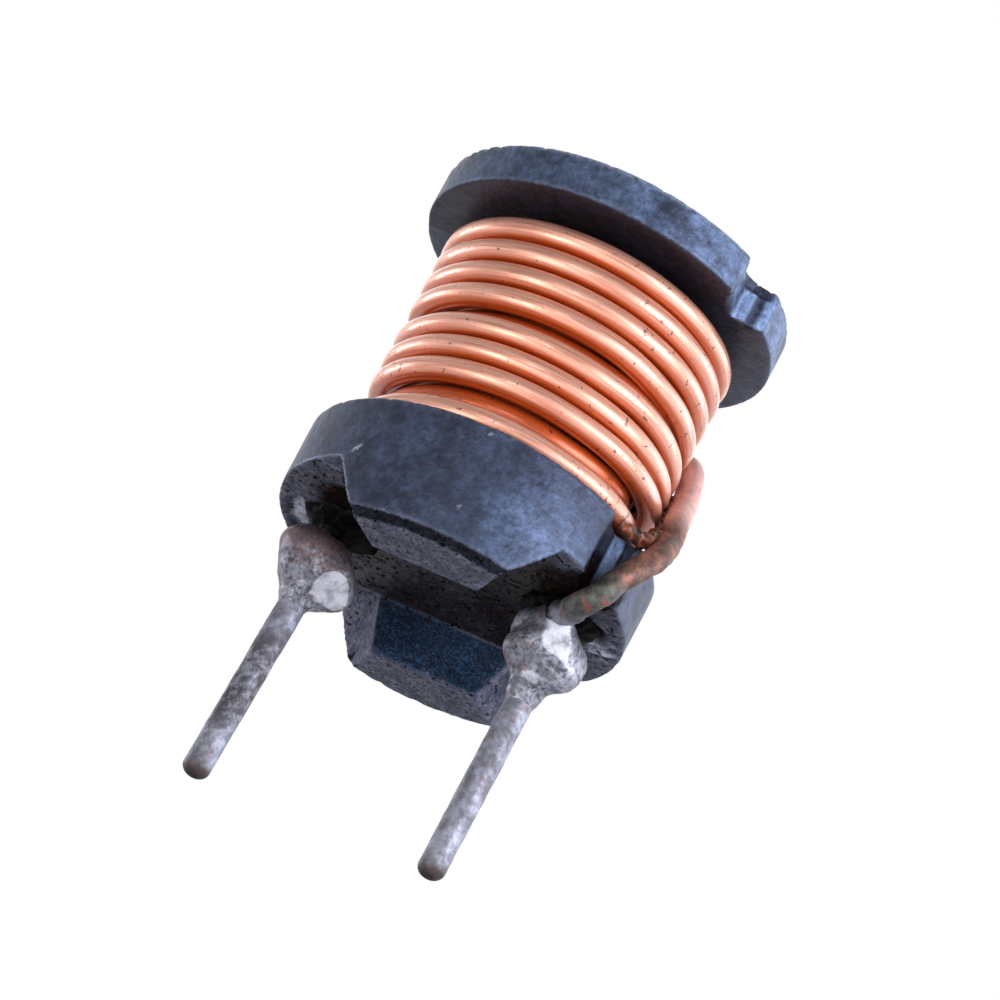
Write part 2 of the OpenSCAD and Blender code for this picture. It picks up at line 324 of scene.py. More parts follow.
# The punch left the ends matt, and the die left the sides smooth. The walls
# of the cross slot are smooth too, and the chamfer of the feet is dark.
beneath = -out[:, 2]                  # 1 where the surface faces down
wall = ramp(np.abs(out[:, 1]), 0.93, 0.99) * ramp(np.abs(y), 2.55, 2.45) * ramp(z, 1.3, 1.2)
matt = ramp(z, 1.45, 1.35) * ramp(r, 3.895, 3.87) * (1 - wall)
matt = np.maximum(matt, ramp(z, 9.28, 9.33) * ramp(r, 3.84, 3.80))
bevel = ramp(beneath, 0.35, 0.5) * ramp(beneath, 0.95, 0.85) * ramp(r, 3.70, 3.72) * ramp(z, 0.3, 0.22)
theta = np.degrees(np.arctan2(y, x))
# Painted shade: the underside of the top flange is darkened, less so towards the right.
shaded = ramp(beneath, 0.3, 0.7) * ramp(z, 8.0, 8.3) * (1 - 0.5 * ramp(theta, -45, -15))
# Worn edges are paler, most along the top edge in front.
rub = edge * (0.10 + 0.5 * ramp(z, 9.15, 9.28) * ramp(np.abs(theta + 82), 45, 30))
# The notches: painted shade in the grooves and in the corner of the lower notch, and a painted highlight on
# the strips that face the light.
groove_shade = 0.75 * ramp(np.abs(x - 3.35), 0.14, 0.07) * ramp(y, -1.62, -1.5) * ramp(y, -1.05, -1.2)
corner = ramp(z, 3, 2.5) * ramp(out[:, 0], 0.7, 0.9) * ramp(np.abs(x - 2.95), 0.14, 0.08)
groove_shade = np.maximum(groove_shade, corner)
strip_highlight = ramp(-out[:, 1], 0.7, 0.92) * ramp(x, 2.93, 3.0) * ramp(np.abs(y + 1.5), 0.35, 0.25)
strip_highlight *= ramp(r, 3.92, 3.86)
strip_highlight *= 1 - groove_shade
# The notch strips' painted highlight is added to the pale edges.
rub = np.maximum(rub, 0.3 * strip_highlight)
# Painted sheen: a blue highlight painted in patches on the near foot and round the top flange, and on the lit
# notch strips.
patchy = grain(p, 0.55, 51) + 0.7 * grain(p, 0.2, 52) + 0.5 * grain(p, 0.09, 53)
lobe = 0.62 * ramp(np.hypot((theta + 60) / 26, (z - 1.2) / 1.5), 1.0, 0.35) * ramp(np.abs(y), 2.3, 2.45)
round_top = 0.35 + 0.65 * ramp(theta, -95, -55) * ramp(theta, 175, 110)
lobe = np.maximum(lobe, ramp(z, 8.35, 8.5) * round_top)
sheen = np.clip(lobe * (0.37 + 0.50 * patchy), 0, 1) * (1 - shaded) * (1 - groove_shade)
sheen *= ramp(out[:, 2], -0.4, -0.1)
sheen = np.maximum(sheen, strip_highlight)
# Soldering left flux in the slot between the pins and beside each of them. Its brown-black is partly painted
# shade in the slot.
pin_near = np.minimum(np.hypot(x - PIN_X, y), np.hypot(x + PIN_X, y))
smear = grain(p, 0.6, 6) + 0.6 * grain(p, 0.22, 7)
spread = np.abs(x) + 0.5 * smear + 0.25 * grain(p, 0.1, 54)
flux = ramp(z, 1.45, 1.25) * ramp(np.abs(y), 2.45, 2.3) * ramp(spread, 3.1, 2.2)
beside = ramp(pin_near + 0.5 * smear - 0.7 * (x > 0), 2.1, 1.3) * ramp(z, 2.1, 1.3) * ramp(z, 0.5, 0.95)
beside *= np.maximum(ramp(np.abs(x) + 0.25 * smear, 3.25, 2.75), ramp(y, -0.8, -1.4))
flux = np.maximum(flux, beside * matt)
behind = ramp(np.hypot(x - 3.3, y + 1.75) + 0.3 * smear, 0.75, 0.45) * ramp(z, 2.3, 1.6)
flux = np.maximum(flux, behind)
# Pressed powder: low waves, fine pits, and broken grains along the edges.
pits = np.maximum(grain(p, 0.13, 3) - 0.34, 0)
hurt = np.maximum(grain(p, 0.25, 4) - 0.15, 0) * edge
chipped = ramp(z, 9.1, 9.3) * ramp(x, -1.2, -2.0) * np.maximum(grain(p, 0.22, 8), 0)
WAVE, PIT, MATT_PIT, CHIP, TOP_CHIP = 0.008, 0.03, 0.12, 0.045, 0.12
low = WAVE * grain(p, 1.4, 5) - (PIT + MATT_PIT * matt) * pits - CHIP * hurt - TOP_CHIP * chipped * edge
low += 0.03 * flux * smear
# The ledge at the right broke when the pin was pushed in: a hole and flakes.
ledge = ramp(z, 1.6, 1.35) * ramp(beneath, 0.5, 0.8)
flakes = grain(p * (0.35, 1, 1), 0.16, 9)
low += ledge * ramp(np.hypot((x - 3.25) / 0.45, (y - 0.62) / 0.5), 1.2, 0.6) * (0.05 + 0.16 * flakes)
low -= ledge * 0.32 * ramp(np.hypot((x - 3.12) / 0.34, (y + 0.02) / 0.32), 1.15, 0.55)
torn = ledge * ramp(np.hypot((x - 3.22) / 0.6, (y - 0.3) / 0.9), 1.1, 0.7)
# The ledge at the left has a shallow dish in it, rubbed pale.
low -= ledge * 0.10 * ramp(np.hypot((x + 3.42) / 0.3, (y - 0.3) / 0.75), 1.1, 0.7) * ramp(x, -3.15, -3.5)
pale = ledge * ramp(np.hypot((x + 3.42) / 0.2, (y - 0.25) / 0.62) + 0.3 * smear, 1.15, 0.75)
pale = np.maximum(pale, torn * ramp(flakes, -0.2, 0.15) * ramp(y, 0.15, 0.35))
# Pale nicks on the rim, from handling: bearing, height, length and width of each.
SLANT = 1.41
for bearing, level, long, thin in ((-125, 1.54, 0.15, 0.05), (-86.6, 2.66, 0.045, 0.035),
                                   (-90, 2.3, 0.04, 0.03), (-85, 0.87, 0.04, 0.03)):
    u, v = (theta - bearing) * math.radians(R), z - level
    nick = ramp(np.hypot((u + v) / SLANT / long, (u - v) / SLANT / thin), 1.1, 0.6)
    pale = np.maximum(pale, nick * ramp(r, 3.8, 3.85))
# The hole in the broken ledge is painted dark as well: painted shade inside it.
flux = np.maximum(flux, ledge * ramp(np.hypot((x - 3.07) / 0.3, (y - 0.03) / 0.3), 1.1, 0.7))
# The grooves' painted shade is laid into the dark chamfer's mask.
bevel = np.maximum(bevel, groove_shade * (0.6 + 0.3 * ramp(z, 3, 2)))
p = p + out * low[:, None]
core_mesh.vertices.foreach_set("co", p.ravel())
for name, values in (("rub", rub), ("matt", matt), ("wall", wall), ("bevel", bevel), ("sheen", sheen),
                     ("shaded", shaded), ("flux", flux), ("pale", pale)):
    layer(core_mesh, name, values)

# Sintered ferrite, as it left the die and the kiln: a dielectric with a high index,
# so dark faces still show a cool sheen, broken up by its grains.
RGBA, TIMES, TIMES_PLUS = {"data_type": "RGBA"}, {"operation": "MULTIPLY"}, {"operation": "MULTIPLY_ADD"}
CLUMP, GLITTER, FLECK, PORE = 0.08333, 0.05263, 0.14286, 0.10526
CLOUD, BLOTCH = 0.76923, 0.41667      # patches of tone, in millimetres as the others
ferrite, tree = paintable("sintered_ferrite")
spot = add(tree, "TexCoord").outputs["Object"]
mask = {name: add(tree, "Attribute", {"attribute_name": name}).outputs["Fac"]
        for name in ("rub", "matt", "wall", "bevel", "sheen", "shaded", "flux", "pale")}
# The grains are 0.02 mm, too fine to show. They are drawn as clumps of 0.08 mm.
sparkle = add(tree, "TexNoise", Vector=spot, Scale=1 / (CLUMP * MM), Detail=2, Roughness=0.6)
cloud = add(tree, "TexNoise", Vector=spot, Scale=1 / (CLOUD * MM), Detail=8, Roughness=0.72)
blotch = add(tree, "TexNoise", Vector=spot, Scale=1 / (BLOTCH * MM), Detail=4, Roughness=0.6)
side = add(tree, "ValToRGB", {"stops": ((0.40, "#0c0e13"), (0.62, "#2b3243"))}, Fac=cloud.outputs["Fac"])
grey = add(tree, "ValToRGB", {"stops": ((0.40, "#262328"), (0.60, "#454249"))}, Fac=blotch.outputs["Fac"])
speck = add(tree, "MapRange", Value=sparkle.outputs["Fac"], From_Min=0.49, From_Max=0.42,
            To_Min=0.0, To_Max=0.95)
grey = add(tree, "Mix", RGBA, i0=speck.outputs[0], i6=grey.outputs["Color"], i7=linear("#161418"))
tone = add(tree, "Mix", RGBA, i0=mask["matt"], i6=side.outputs["Color"], i7=grey.outputs["Result"])
# The slot's walls glitter blue.
glitter = add(tree, "TexNoise", Vector=spot, Scale=1 / (GLITTER * MM), Detail=2, Roughness=0.6)
deep = add(tree, "ValToRGB", {"stops": ((0.42, "#111722"), (0.66, "#365b82"))}, Fac=glitter.outputs["Fac"])
tone = add(tree, "Mix", RGBA, i0=mask["wall"], i6=tone.outputs["Result"], i7=deep.outputs["Color"])
tone = add(tree, "Mix", RGBA, i0=mask["rub"], i6=tone.outputs["Result"], i7=linear("#7c8398"))
# Over it go the painted sheen, the dark chamfer with the grooves' painted shade, the painted shade under the
# top flange, and the pale worn patches.
for name, code in (("sheen", "#607699"), ("bevel", "#0c0d13"), ("shaded", "#180e0d"), ("pale", "#8e919c")):
    part = add(tree, "Math", TIMES, i0=mask[name], i1=0.88)
    tone = add(tree, "Mix", RGBA, i0=part.outputs[0], i6=tone.outputs["Result"], i7=linear(code))
# The grains catch the light one by one, so the tone is broken up finely.
fleck = add(tree, "TexNoise", Vector=spot, Scale=1 / (FLECK * MM), Detail=4, Roughness=0.75)
fleck = add(tree, "MapRange", Value=fleck.outputs["Fac"], From_Min=0.34, From_Max=0.66,
            To_Min=0.42, To_Max=1.7)
tone = add(tree, "VectorMath", {"operation": "SCALE"}, i0=tone.outputs["Result"], Scale=fleck.outputs[0])
# Open pores of about 0.1 mm on the faces that the die did not polish, painted black as the shade inside them.
pore_shade = add(tree, "TexNoise", Vector=spot, Scale=1 / (PORE * MM), Detail=1, Roughness=0.5)
pore_shade = add(tree, "MapRange", Value=pore_shade.outputs["Fac"], From_Min=0.378, From_Max=0.335,
           To_Min=0.0, To_Max=0.9)
pore_shade = add(tree, "Math", TIMES, i0=mask["matt"], i1=pore_shade.outputs[0])
tone = add(tree, "Mix", RGBA, i0=pore_shade.outputs[0], i6=tone.outputs[0], i7=linear("#08070a"))
# Flux, partly painted shade: a brown-black gum with a few rusty specks.
gum = add(tree, "ValToRGB", {"stops": ((0.66, "#0e0907"), (0.72, "#5a3018"))}, Fac=sparkle.outputs["Fac"])
tone = add(tree, "Mix", RGBA, i0=mask["flux"], i6=tone.outputs["Result"], i7=gum.outputs["Color"])
gloss = add(tree, "MapRange", Value=blotch.outputs["Fac"], From_Min=0.3, From_Max=0.7,
            To_Min=0.38, To_Max=0.55)
dull = add(tree, "Mix", {"data_type": "FLOAT"}, i0=mask["matt"], i2=gloss.outputs[0], i3=0.75)
dull = add(tree, "Mix", {"data_type": "FLOAT"}, i0=mask["flux"], i2=dull.outputs[0], i3=0.3)
bumps = add(tree, "Bump", Strength=0.7, Distance=0.016 * MM, Height=sparkle.outputs["Fac"])
shine = add(tree, "Math", TIMES_PLUS, i0=mask["flux"], i1=-0.34, i2=0.38)
for dark, less in ((mask["bevel"], -0.36), (pore_shade.outputs[0], -0.34), (mask["shaded"], -0.2)):
    shine = add(tree, "Math", TIMES_PLUS, i0=dark, i1=less, i2=shine.outputs[0])
shine = add(tree, "Math", {"operation": "MULTIPLY_ADD", "use_clamp": True}, i0=mask["sheen"],
            i1=0.25, i2=shine.outputs[0])
shade = add(tree, "BsdfPrincipled", Base_Color=tone.outputs["Result"], Roughness=dull.outputs[0],
            Normal=bumps.outputs[0], IOR=1.9, Specular_IOR_Level=shine.outputs[0],
            Specular_Tint=linear("#c3d2ff"))
add(tree, "OutputMaterial", Surface=shade.outputs[0])
finish_piece("core_pressed_ferrite", core_mesh, ferrite, "ferrite_core")

# ---------------------------------------------------------------- glue
# Each pin is set in a blind hole with black epoxy. Flux from soldering has run down over it and set as a
# black-brown mound round the pin's root; its near black is partly painted shade round the root.
PIN_R = 0.3


def turned(profile, segments):
    """A lathe mesh from (radius, height) pairs, closed at both ends on the axis."""
    verts, faces = [], []
    for r, z in profile:
        for k in range(segments):
            a = 2 * math.pi * k / segments
            verts.append((r * math.cos(a), r * math.sin(a), z))
    for i in range(len(profile) - 1):
        for k in range(segments):
            a, b = i * segments + k, i * segments + (k + 1) % segments
            faces.append((a, b, b + segments, a + segments))
    bottom, top = len(verts), len(verts) + 1
    verts += [(0, 0, profile[0][1]), (0, 0, profile[-1][1])]
    last = (len(profile) - 1) * segments
    for k in range(segments):
        n = (k + 1) % segments
        faces.append((bottom, n, k))
        faces.append((top, last + k, last + n))
    mesh = bpy.data.meshes.new("turned")
    mesh.from_pydata(verts, [], faces)
    return mesh


# Set epoxy under dried flux: near black with brown in it, partly painted shade, lumpy, and hardly glossy.
RUN = 0.26316                         # a run of flux, in millimetres
epoxy, tree = paintable("black_epoxy_flux_and_shade")
spot = add(tree, "TexCoord").outputs["Object"]
blur = add(tree, "TexNoise", Vector=spot, Scale=1 / (RUN * MM), Detail=4)
tone = add(tree, "ValToRGB", {"stops": ((0.55, "#020101"), (0.76, "#140b07"))}, Fac=blur.outputs["Fac"])
bumps = add(tree, "Bump", Strength=0.9, Distance=0.05 * MM, Height=blur.outputs["Fac"])
shade = add(tree, "BsdfPrincipled", Base_Color=tone.outputs["Color"], Roughness=0.42, IOR=1.5,
            Specular_IOR_Level=0.04, Normal=bumps.outputs[0])
add(tree, "OutputMaterial", Surface=shade.outputs[0])
MOUND = [(0.30, 0.66), (0.34, 0.74), (0.40, 0.84), (0.48, 0.94), (0.58, 1.04), (0.70, 1.13),
         (0.80, 1.20), (0.86, 1.27), (0.88, 1.32), (0.84, 1.36)]
for side, sagged, name in ((-1, 0.16, "pin_glue_left"), (1, -0.12, "pin_glue_right")):
    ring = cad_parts[name].data
    ring.materials.clear()
    ring.materials.append(epoxy)
    mesh = turned(MOUND, 72)
    p = points_of(mesh)
    lump = 1 + 0.16 * grain(p, 0.5, 31 + side) + 0.14 * grain(p, 0.16, 33 + side)
    on_pin = PIN_R / np.maximum(np.hypot(p[:, 0], p[:, 1]), PIN_R) * 0.97
    p[:, :2] *= np.maximum(lump, on_pin)[:, None]
    p[:, 0] += side * PIN_X + sagged * ramp(p[:, 2], 0.7, 1.2)
    mesh.vertices.foreach_set("co", p.ravel())
    finish_piece("flux_shade_mound_" + name[9:], mesh, epoxy, name, replaces=False)

# ---------------------------------------------------------------- pins
# Round steel wire, dipped in tin and then cut: dull grey, mottled, with small
# lumps along it, red-brown stains and a rounded dark tip.
BEND, REACH = 0.3, 5.15               # height of the lean, length below the feet
TIP_R, TIP_FLAT = 0.22, 0.08          # rounding of the cut end, and the flat left on it
ROOT_R = 0.27                         # the shank in the hole
# Dipped tin, long oxidised: half metal and half grey oxide, so it shines softly in
# blotches. The fine one is coarser than real oxide, so that it shows.
MOTTLE, FINE_SPOT, STAIN = 0.45455, 0.11111, 0.66667
tin, tree = paintable("dipped_tin")
spot = add(tree, "TexCoord").outputs["Object"]
blotch = add(tree, "TexNoise", Vector=spot, Scale=1 / (MOTTLE * MM), Detail=5, Roughness=0.6)
fine = add(tree, "TexNoise", Vector=spot, Scale=1 / (FINE_SPOT * MM), Detail=3, Roughness=0.65)
both = add(tree, "Math", TIMES_PLUS, i0=fine.outputs["Fac"], i1=0.6, i2=blotch.outputs["Fac"])
tone = add(tree, "ValToRGB", {"stops": ((0.60, "#68666f"), (1.0, "#a3a6b5"))}, Fac=both.outputs[0])
rust = add(tree, "TexNoise", Vector=spot, Scale=1 / (STAIN * MM), Detail=4, Roughness=0.7)
stain = add(tree, "MapRange", Value=rust.outputs["Fac"], From_Min=0.56, From_Max=0.70,
            To_Min=0.0, To_Max=0.6)
tone = add(tree, "Mix", RGBA, i0=stain.outputs[0], i6=tone.outputs["Color"], i7=linear("#75504f"))
# The left pin sat in the flux for longer, and is sootier.
aged = add(tree, "Attribute", {"attribute_name": "aged"}).outputs["Fac"]
soot = add(tree, "MapRange", Value=both.outputs[0], From_Min=0.92, From_Max=0.74, To_Min=0.4, To_Max=1.0)
soot = add(tree, "Math", TIMES, i0=soot.outputs[0], i1=aged)
tone = add(tree, "Mix", RGBA, i0=soot.outputs[0], i6=tone.outputs["Result"], i7=linear("#3f3b3f"))
# The cut end was never dipped: bare steel, gone brown.
height = add(tree, "SeparateXYZ", Vector=spot)
cut = add(tree, "MapRange", Value=height.outputs["Z"], From_Min=-4.80 * MM, From_Max=-5.02 * MM,
          To_Min=0.0, To_Max=0.9)
tone = add(tree, "Mix", RGBA, i0=cut.outputs[0], i6=tone.outputs["Result"], i7=linear("#3d302e"))
dull = add(tree, "MapRange", Value=both.outputs[0], From_Min=0.6, From_Max=1.0, To_Min=0.58, To_Max=0.42)
bumps = add(tree, "Bump", Strength=0.6, Distance=0.02 * MM, Height=fine.outputs["Fac"])
shade = add(tree, "BsdfPrincipled", Base_Color=tone.outputs["Result"], Metallic=0.6,
            Roughness=dull.outputs[0], Normal=bumps.outputs[0])
add(tree, "OutputMaterial", Surface=shade.outputs[0])

drop = REACH + BEND
pin_profile = [(0.03, -drop)]
pin_profile += [(TIP_FLAT + TIP_R * math.sin(a), TIP_R - TIP_R * math.cos(a) - drop)
                for a in [math.radians(v) for v in range(0, 91, 10)]]
pin_profile += [(PIN_R, -drop + TIP_R + i * 0.07) for i in range(1, 60)]
pin_profile += [(0.28, -1.07), (0.28, -0.5), (0.28, 0), (ROOT_R, 0.02), (ROOT_R, 1.0), (ROOT_R, 1.9)]
pin_profile = sorted(set(pin_profile), key=lambda rz: rz[1])
SOOT_AT = (-4.9, -4.3, -3.6, -3.0, -2.2, -1.5, -0.8, 0.0)
SOOT = (0.25, 0.3, 0.9, 1.0, 0.85, 0.45, 0.3, 0.0)
for side, lean, soot_share, name in ((-1, 2, 1.0, "pin_left"), (1, 0, 0.32, "pin_right")):
    mesh = turned(pin_profile, 48)
    p = points_of(mesh)
    lump = 0.010 * grain(p, 0.5, 11 + side) + 0.006 * grain(p, 0.16, 13 + side)
    lump *= np.clip((-1.0 - p[:, 2]) / 0.2, 0, 1)
    r = np.hypot(p[:, 0], p[:, 1])
    p[:, :2] *= (1 + lump / np.maximum(r, 0.05))[:, None]
    tilt = math.radians(-side * lean)
    below = p[:, 2] < 0
    x = p[:, 0] * math.cos(tilt) + p[:, 2] * math.sin(tilt)
    z = -p[:, 0] * math.sin(tilt) + p[:, 2] * math.cos(tilt)
    p[below, 0], p[below, 2] = x[below], z[below]
    p[:, 0] += side * PIN_X
    p[:, 2] += BEND
    mesh.vertices.foreach_set("co", p.ravel())
    layer(mesh, "aged", np.interp(p[:, 2], SOOT_AT, SOOT) * soot_share)
    finish_piece(name + "_tinned_wire", mesh, tin, name)

# ---------------------------------------------------------------- winding
# One copper wire of 0.5 mm with a clear amber enamel, wound in three layers
# by machine and pulled over the rim at its ends, where dipping has burnt the
# enamel off and left tin on the copper.
WIRE_R, CLEAR = 0.275, 0.025          # radius over the enamel, distance off the ferrite
PITCH, PITCH2, STEP = 0.56, 0.627, 0.57   # turn to turn outside and in the middle, and layer to layer
GAP_LOW, GAP_HIGH = 0.39, 0.21        # the wide gaps above the first and the fourth outer turn
R3 = R - 0.6 - WIRE_R                 # the outer layer lies 0.6 inside the rim
R2, R1 = R3 - STEP, R3 - 2 * STEP
LOW = WEB + WIRE_R + CLEAR
LOW3, LOW2 = LOW + 0.16, LOW + 0.61
FINE = 6                              # fine steps for each coarse one of 20 degrees


def at(angle, r, z):
    """A point at an angle round the drum's axis."""
    a = math.radians(angle)
    return np.array([r * math.cos(a), r * math.sin(a), z])


def mix(a, b, t):
    """The value a share t of the way from a to b."""
    return a + (b - a) * t


def turn_z(i):
    """Height of an outer turn: two wide gaps part them into 1, 3 and 4."""
    return LOW3 + i * PITCH + (GAP_LOW if i > 0 else 0) + (GAP_HIGH if i > 3 else 0)


TOP3 = turn_z(7)
TOP2 = LOW2 + 5 * PITCH2
TOP1 = TOP2 + 0.25 * PITCH2
WRAP = PIN_R + WIRE_R + 0.02


def wrap(x, angle, z):
    """A point of the wire's wrap round a pin."""
    a = math.radians(angle)
    return np.array([x + WRAP * math.cos(a), WRAP * math.sin(a), z])


def curve(points, cuts):
    """A smooth curve through all points but the first and the last."""
    line = []
    for a, b, c, d in zip(points, points[1:], points[2:], points[3:]):
        for t in np.arange(cuts) / cuts:
            line.append(b + t * (c - a) / 2 + t * t * (a - 2.5 * b + 2 * c - d / 2)
                        + t ** 3 * (3 * b - a - 3 * c + d) / 2)
    return line


def steps(a, b):
    """Coarse steps from a to b, cut into fine ones."""
    return np.arange(a, b - 1e-6, 1 / FINE)


left_wrap = [wrap(-PIN_X, 450 - 45 * i, z)
             for i, z in enumerate([-0.22, -0.12, 0.02, 0.15, 0.28, 0.42, 0.55])]
left_lead = [np.array([-PIN_X - WRAP - 0.06, 0.5, 0.68]), at(163, R - 0.42, 0.84),
             at(153, R - 0.16, 1.05), at(150, R - 0.13, SLOT + 0.3),
             at(150, R - 0.16, mix(SLOT, WEB, 0.7)), at(147, R - 0.2, WEB + 0.19),
             at(141, R - 0.38, LOW + 0.06)]
run_in = [at(132 - 9 * i, mix(R - 0.62, R1, i / 8), LOW) for i in steps(0, 8)]
layer_1 = [at(60 - 20 * i, R1, mix(LOW, TOP1, i / 108)) for i in steps(0, 108)]
over_1 = [at(60 - 20 * i, mix(R1, R2, i / 3), mix(TOP1, TOP2 + 0.43 * PITCH2, i / 3) + 0.055)
          for i in steps(0, 3)]
layer_2 = []
for i in steps(0, 104):
    n, u = divmod(i * 20 + 1e-9, 360)
    layer_2.append(at(-20 * i, R2, TOP2 - n * PITCH2
                      + PITCH2 * (0.43 - 0.43 * min(1, u / 60) - 0.57 * max(0, u - 280) / 80)))
over_2 = [at(80 - 20 * i, mix(R2, R3, i / 4), mix(LOW2, LOW3, i / 4)) for i in steps(0, 4)]
layer_3 = []
for i in steps(0, 134):
    n, u = divmod(i * 20 + 1e-9, 360)
    layer_3.append(at(-20 * i, R3, mix(turn_z(n), turn_z(n + 1), min(1, max(0, (u - 150) / 180)))))
OVER = R3 + STEP + 0.02
RIM = R + WIRE_R + CLEAR


def down(t):
    """A height between the top turn and the bottom flange."""
    return mix(TOP3, WEB, t)


right_lead = [at(-185, mix(R3, OVER, 0.15), TOP3 + 0.1), at(-207, mix(R3, OVER, 0.6), TOP3 + 0.19),
              at(-230, OVER, TOP3 + 0.17), at(-250, OVER + 0.01, TOP3 + 0.02),
              at(-272, OVER + 0.02, down(0.06)), at(-295, OVER + 0.02, down(0.13)),
              at(-314, OVER, down(0.19)), at(-329, OVER - 0.02, down(0.275)),
              at(-339, OVER - 0.02, down(0.43)), at(-350, OVER - 0.01, down(0.59)),
              at(-363, OVER + 0.12, down(0.72)), at(-370, OVER + 0.31, down(0.87)),
              at(-380.5, RIM + 0.03, WEB - 0.1), at(-386.5, RIM + 0.01, mix(SLOT, WEB, 0.5)),
              at(-389, R + 0.16, SLOT + 0.33), at(-392, R + 0.1, SLOT - 0.16),
              at(-390, R - 0.36, SLOT - 0.37), np.array([PIN_X + 0.1, -0.97, SLOT - WIRE_R - 0.05])]
right_wrap = [wrap(PIN_X, -110 - 45 * i, SLOT - 0.43 - 0.0725 * i) for i in range(10)]
coil = run_in + layer_1 + over_1 + layer_2 + over_2 + layer_3
start = curve([left_wrap[0] * 2 - left_wrap[1]] + left_wrap + left_lead + [coil[0], coil[FINE]], 10)
finish = curve([coil[-1 - FINE], coil[-1]] + right_lead + right_wrap
               + [right_wrap[-1] * 2 - right_wrap[-2]], 10)
line = np.array(start + coil + finish[1:])
gone = np.concatenate([[0], np.cumsum(np.linalg.norm(np.diff(line, axis=0), axis=1))])
# The corners where one run meets the next are eased over a wire's width.
for _ in range(6):
    line[1:-1] = line[1:-1] * 0.5 + (line[:-2] + line[2:]) * 0.25

# The lower turns stand out a little at the right, where the lead pulled them.
far = np.hypot(line[:, 0], line[:, 1])
turn = np.degrees(np.arctan2(line[:, 1], line[:, 0]))
swell = 0.11 * ramp(np.abs(turn + 22), 42, 12) * ramp(line[:, 2], 5.2, 4.2) * ramp(np.abs(far - R3), 0.2, 0.1)
# Where the outer turns part, the turn below them has risen into the gap.
below = ramp(np.abs(far - R2), 0.1, 0.03) * ramp(turn, 0, -25) * ramp(turn, -178, -160)
LOWER_GAP, UPPER_GAP = 3.82, 5.7
swell += below * (0.23 * ramp(np.abs(line[:, 2] - LOWER_GAP), 0.32, 0.2)
                  + 0.25 * ramp(np.abs(line[:, 2] - UPPER_GAP), 0.32, 0.2))
line[:, :2] *= (1 + swell / np.maximum(far, 1))[:, None]
outer = 0.045 * ramp(np.abs(far - R3), 0.2, 0.1) * ramp(np.abs(turn + 20), 45, 15)
line[:, 2] += outer * (ramp(np.abs(line[:, 2] - 5.33), 0.25, 0.1) - ramp(np.abs(line[:, 2] - 6.1), 0.25, 0.1))

ROUND = 16                            # faces round the wire


def directions(line):
    """The unit direction of a line at each of its points."""
    ahead = np.gradient(line, axis=0)
    return ahead / np.linalg.norm(ahead, axis=1, keepdims=True)


def spokes(ahead, across):
    """Unit vectors from each point of a line to the skin round it, ROUND a point."""
    third = np.cross(ahead, across)
    angles = 2 * math.pi * np.arange(ROUND) / ROUND
    ring = (np.cos(angles)[None, :, None] * across[:, None]
            + np.sin(angles)[None, :, None] * third[:, None])
    return ring.reshape(-1, 3)


def skin(name, verts):
    """A closed tube through rings of ROUND points each."""
    count = len(verts) // ROUND
    faces = [(i * ROUND + k, i * ROUND + (k + 1) % ROUND, (i + 1) * ROUND + (k + 1) % ROUND,
              (i + 1) * ROUND + k) for i in range(count - 1) for k in range(ROUND)]
    faces += [tuple(range(ROUND))[::-1], tuple((count - 1) * ROUND + k for k in range(ROUND))]
    mesh = bpy.data.meshes.new(name)
    mesh.from_pydata(verts.tolist(), [], faces)
    return mesh


ahead = directions(line)
across = np.zeros_like(line)
n = np.array([0.1, 0.2, 1.0])
for i, t in enumerate(ahead):
    n = n - t * (n @ t)
    n = n / np.linalg.norm(n)
    across[i] = n
ring = spokes(ahead, across)
# Towards both ends, by length of wire: enamel gone, copper burnt, tin on it, and
# at last the wire sunk in its joint.
tail = gone[-1] - gone
stripped = np.maximum(ramp(tail, 13.9, 12.9), ramp(gone, 7.5, 6.5))
bare = np.maximum(ramp(tail, 10.6, 9.2), ramp(gone, 6.5, 5.0))
tinned = np.maximum(ramp(tail, 7.6, 6.2), ramp(gone, 4.5, 3.0))
centre = np.repeat(line, ROUND, axis=0)
sunk = np.repeat(np.maximum(ramp(tail, 4.5, 4.0), ramp(gone, 3.0, 2.6)), ROUND)
verts = centre + ring * (WIRE_R - 0.04 * sunk)[:, None]
rough = (0.022 * grain(verts, 0.3, 41) + 0.012 * grain(verts, 0.11, 42)) * np.repeat(bare, ROUND)
verts += ring * (rough * (1 - sunk))[:, None]
wire_mesh = skin("wire", verts)
# How far each point of the wire faces away from the drum, and how dirty it is.
radial = centre * (1, 1, 0) / np.maximum(np.hypot(centre[:, 0], centre[:, 1]), 1e-6)[:, None]
outward = (ring * radial).sum(1)
theta = np.degrees(np.arctan2(verts[:, 1], verts[:, 0]))
height = verts[:, 2]
inside = np.hypot(centre[:, 0], centre[:, 1]) < R3 - 0.2
dirty = 0.45 * ramp(np.abs(theta + 20), 60, 25) + 0.3 * ramp(np.abs(theta + 160), 45, 20)
dirty += 0.25 * ramp(height, 5.5, 3.0) + 0.2 * ramp(height, 7.4, 8.0)
# Grime in the corner by the lead, and a little painted shade on the inner layers where they show in the gaps.
grime_and_shade = ramp(np.hypot((theta + 12) / 16, (height - 3.35) / 0.75), 1.2, 0.4) * (1 - np.repeat(bare, ROUND))
grime_and_shade = np.maximum(grime_and_shade, 0.12 * inside)
merged = np.maximum(ramp(tail, 5.9, 4.7), ramp(gone, 4.0, 3.0))
for name, values in (("bare", bare), ("stripped", stripped), ("tinned", tinned), ("merged", merged),
                     ("along", gone)):
    layer(wire_mesh, name, np.repeat(values, ROUND))
